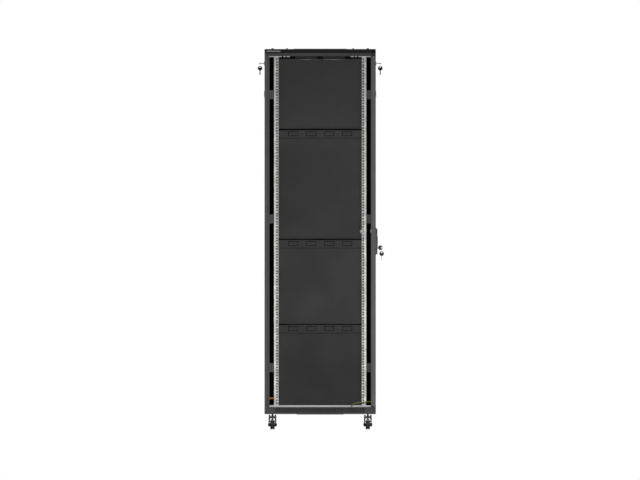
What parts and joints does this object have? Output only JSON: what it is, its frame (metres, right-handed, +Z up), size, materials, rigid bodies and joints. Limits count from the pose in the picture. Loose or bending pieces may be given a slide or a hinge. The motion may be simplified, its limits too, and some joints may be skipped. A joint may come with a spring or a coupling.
{
  "type": "network rack cabinet",
  "caption": "Floor-standing 19-inch network rack cabinet on casters, with glass front door, steel rear door, lift-off side panels, fans and keyed swing handles.",
  "frame": {"origin": "centre of the base frame's underside, between its four plinth bolt holes", "axes": "+Z up, +X to the cabinet's right seen from the front, +Y from front to rear"},
  "size_m": [0.6795, 1.3828, 2.0545],
  "materials": {
    "black_frame": "fine-textured powder coat",
    "black_panel": "fine-textured powder coat",
    "dark_trim": "smooth powder coat",
    "galvanised": "galvanised",
    "zinc": "bright zinc plate",
    "black_plastic": "moulded",
    "rubber": "matt",
    "wheel_plastic": "moulded",
    "glass": "tinted, tempered",
    "key_metal": "nickel plate",
    "brass": "passivated",
    "earth_green": "two-colour sheath"
  },
  "bodies": {
    "root": {"columns": "black_frame", "base_front_beam": "black_frame", "base_rear_beam": "black_frame", "base_side_beams": "black_frame", "caster_plates": "zinc", "base_panel": "black_frame", "cable_covers": "black_frame", "rail_bars": "zinc", "top_front_beam": "black_frame", "top_rear_beam": "black_frame", "top_side_beams": "black_frame", "front_fascia": "dark_trim", "roof_panel": "black_frame", "fan_housings": "black_plastic", "fan_guards": "zinc", "rail_front_left": "galvanised", "rail_front_right": "galvanised", "rail_rear_left": "galvanised", "rail_rear_right": "galvanised", "depth_braces": "black_frame", "frame_bolts": "zinc", "hinge_pins": "zinc", "earth_studs": "brass", "caster_stems": "zinc", "earth_lead": "earth_green"},
    "front_door": {"front_door_frame": "black_panel", "front_door_seal": "rubber", "front_door_glass": "glass", "front_handle_base": "black_plastic"},
    "front_hub": {"front_handle_hub": "zinc"},
    "front_lever": {"front_handle_lever": "black_plastic"},
    "front_key_body": {"front_key": "key_metal"},
    "front_spare": {"front_spare_key": "key_metal"},
    "rear_door_body": {"rear_door": "black_panel", "rear_door_stiffeners": "black_panel", "rear_handle_base": "black_plastic"},
    "rear_hub": {"rear_handle_hub": "zinc"},
    "rear_lever": {"rear_handle_lever": "black_plastic"},
    "fan_left": {"fan_rotor_left": "black_plastic"},
    "fan_right": {"fan_rotor_right": "black_plastic"},
    "left_panel": {"left_side_panel": "black_panel", "left_lock_barrel": "zinc"},
    "left_lock": {"left_key": "key_metal"},
    "left_spare": {"left_spare_key": "key_metal"},
    "left_latch_body": {"left_latch": "black_plastic"},
    "right_panel": {"right_side_panel": "black_panel", "right_lock_barrel": "zinc"},
    "right_lock": {"right_key": "key_metal"},
    "right_spare": {"right_spare_key": "key_metal"},
    "right_latch_body": {"right_latch": "black_plastic"},
    "caster_front_left": {"caster_fork_front_left": "zinc"},
    "roller_front_left": {"wheel_front_left": "wheel_plastic"},
    "caster_front_right": {"caster_fork_front_right": "zinc"},
    "roller_front_right": {"wheel_front_right": "wheel_plastic"},
    "caster_rear_left": {"caster_fork_rear_left": "zinc"},
    "roller_rear_left": {"wheel_rear_left": "wheel_plastic"},
    "caster_rear_right": {"caster_fork_rear_right": "zinc"},
    "roller_rear_right": {"wheel_rear_right": "wheel_plastic"},
    "pedal_front_left": {"brake_pedal_front_left": "black_plastic"},
    "pedal_front_right": {"brake_pedal_front_right": "black_plastic"}
  },
  "joints": [
    {"name": "front_door_hinge", "type": "hinge", "parent": "root", "child": "front_door", "pos_m": [0.288, -0.388, 0.984], "axis": [0, 0, 1], "range_deg": [-90, 30], "deforming": ["earth_lead"]},
    {"name": "front_handle_turn", "type": "hinge", "parent": "front_door", "child": "front_hub", "pos_m": [0.3, -0.936, 0.985], "axis": [1, 0, 0], "range_deg": [0, 90]},
    {"name": "front_handle_lift", "type": "hinge", "parent": "front_hub", "child": "front_lever", "pos_m": [0.3058, -0.936, 0.9985], "axis": [0, -1, 0], "range_deg": [0, 60]},
    {"name": "front_key_turn", "type": "hinge", "parent": "front_lever", "child": "front_key_body", "pos_m": [0.309, -0.936, 0.897], "axis": [1, 0, 0], "range_deg": [0, 90]},
    {"name": "front_spare_swing", "type": "hinge", "parent": "front_key_body", "child": "front_spare", "pos_m": [0.3315, -0.936, 0.8946], "axis": [0, -1, 0], "range_deg": [-12, 45]},
    {"name": "rear_door_hinge", "type": "hinge", "parent": "root", "child": "rear_door_body", "pos_m": [-0.288, 0.388, 0.984], "axis": [0, 0, 1], "range_deg": [0, 120]},
    {"name": "rear_handle_turn", "type": "hinge", "parent": "rear_door_body", "child": "rear_hub", "pos_m": [0.26, 0.4, 0.985], "axis": [0, 1, 0], "range_deg": [0, 90]},
    {"name": "rear_handle_lift", "type": "hinge", "parent": "rear_hub", "child": "rear_lever", "pos_m": [0.26, 0.4058, 0.9985], "axis": [1, 0, 0], "range_deg": [0, 60]},
    {"name": "left_panel_off", "type": "slide", "parent": "root", "child": "left_panel", "axis": [-1, 0, 0], "range_m": [0, 0.3]},
    {"name": "left_key_turn", "type": "hinge", "parent": "left_panel", "child": "left_lock", "pos_m": [-0.3, 0, 1.891], "axis": [-1, 0, 0], "range_deg": [-90, 0]},
    {"name": "left_spare_swing", "type": "hinge", "parent": "left_lock", "child": "left_spare", "pos_m": [-0.324, 0.0066, 1.8928], "axis": [0, 1, 0], "range_deg": [-10, 25]},
    {"name": "left_latch_slide", "type": "slide", "parent": "left_panel", "child": "left_latch_body", "axis": [0, 0, -1], "range_m": [0, 0.008], "stiffness_N_per_m": 400, "springref_m": -0.004},
    {"name": "right_panel_off", "type": "slide", "parent": "root", "child": "right_panel", "axis": [1, 0, 0], "range_m": [0, 0.3]},
    {"name": "right_key_turn", "type": "hinge", "parent": "right_panel", "child": "right_lock", "pos_m": [0.3, 0, 1.891], "axis": [1, 0, 0], "range_deg": [-90, 0]},
    {"name": "right_spare_swing", "type": "hinge", "parent": "right_lock", "child": "right_spare", "pos_m": [0.324, 0.0066, 1.8928], "axis": [0, -1, 0], "range_deg": [-10, 25]},
    {"name": "right_latch_slide", "type": "slide", "parent": "right_panel", "child": "right_latch_body", "axis": [0, 0, -1], "range_m": [0, 0.008], "stiffness_N_per_m": 400, "springref_m": -0.004},
    {"name": "fan_left_spin", "type": "hinge", "parent": "root", "child": "fan_left", "pos_m": [-0.075, -0.09, 1.9], "axis": [0, 0, 1], "continuous": true},
    {"name": "fan_right_spin", "type": "hinge", "parent": "root", "child": "fan_right", "pos_m": [0.075, -0.09, 1.9], "axis": [0, 0, 1], "continuous": true},
    {"name": "swivel_front_left", "type": "hinge", "parent": "root", "child": "caster_front_left", "pos_m": [-0.257, -0.365, -0.02], "axis": [0, 0, 1], "continuous": true},
    {"name": "roll_front_left", "type": "hinge", "parent": "caster_front_left", "child": "roller_front_left", "pos_m": [-0.257, -0.345, -0.057], "axis": [1, 0, 0], "continuous": true},
    {"name": "swivel_front_right", "type": "hinge", "parent": "root", "child": "caster_front_right", "pos_m": [0.257, -0.365, -0.02], "axis": [0, 0, 1], "continuous": true},
    {"name": "roll_front_right", "type": "hinge", "parent": "caster_front_right", "child": "roller_front_right", "pos_m": [0.257, -0.345, -0.057], "axis": [1, 0, 0], "continuous": true},
    {"name": "swivel_rear_left", "type": "hinge", "parent": "root", "child": "caster_rear_left", "pos_m": [-0.257, 0.365, -0.02], "axis": [0, 0, 1], "continuous": true},
    {"name": "roll_rear_left", "type": "hinge", "parent": "caster_rear_left", "child": "roller_rear_left", "pos_m": [-0.257, 0.345, -0.057], "axis": [1, 0, 0], "continuous": true},
    {"name": "swivel_rear_right", "type": "hinge", "parent": "root", "child": "caster_rear_right", "pos_m": [0.257, 0.365, -0.02], "axis": [0, 0, 1], "continuous": true},
    {"name": "roll_rear_right", "type": "hinge", "parent": "caster_rear_right", "child": "roller_rear_right", "pos_m": [0.257, 0.345, -0.057], "axis": [1, 0, 0], "continuous": true},
    {"name": "brake_front_left", "type": "hinge", "parent": "caster_front_left", "child": "pedal_front_left", "pos_m": [-0.257, -0.378, -0.0385], "axis": [1, 0, 0], "range_deg": [0, 12]},
    {"name": "brake_front_right", "type": "hinge", "parent": "caster_front_right", "child": "pedal_front_right", "pos_m": [0.257, -0.378, -0.0385], "axis": [1, 0, 0], "range_deg": [0, 12]}
  ]
}
